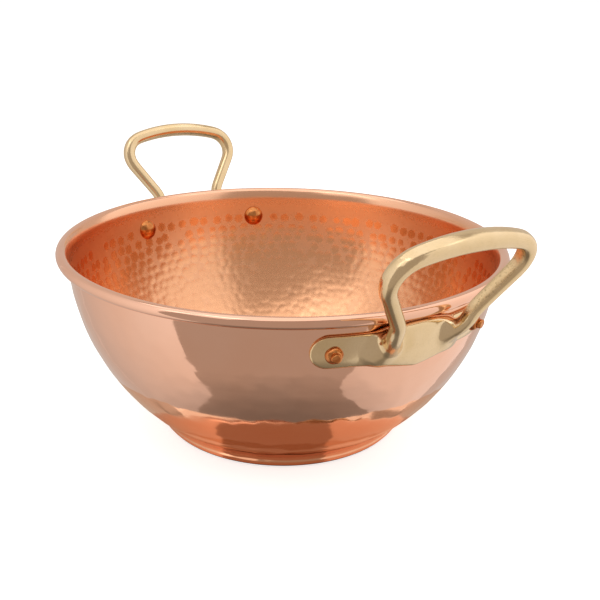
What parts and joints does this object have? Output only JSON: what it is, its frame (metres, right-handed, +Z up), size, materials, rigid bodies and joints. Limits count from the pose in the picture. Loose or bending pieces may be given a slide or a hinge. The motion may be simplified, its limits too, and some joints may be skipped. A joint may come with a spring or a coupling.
{
  "type": "hammered copper mixing bowl",
  "caption": "Round-bottomed hammered copper bowl on a small foot, with a rolled rim and riveted cast brass loop handles on opposite sides.",
  "frame": {"origin": "centre of the flat base, on the surface the bowl stands on", "axes": "+Z up, +X towards the right handle, through the middle of both handles"},
  "size_m": [0.3412, 0.2728, 0.1633],
  "materials": {
    "copper_sheet": "polished, hand hammered",
    "steel_wire": "plain drawn wire",
    "cast_brass": "polished casting",
    "copper_rivet": "hammered, slightly darkened"
  },
  "bodies": {
    "root": {"bowl_shell": "copper_sheet", "rim_wire": "steel_wire", "handle_right": "cast_brass", "handle_left": "cast_brass", "rivet_right_front": "copper_rivet", "rivet_right_back": "copper_rivet", "rivet_left_front": "copper_rivet", "rivet_left_back": "copper_rivet"}
  },
  "joints": []
}
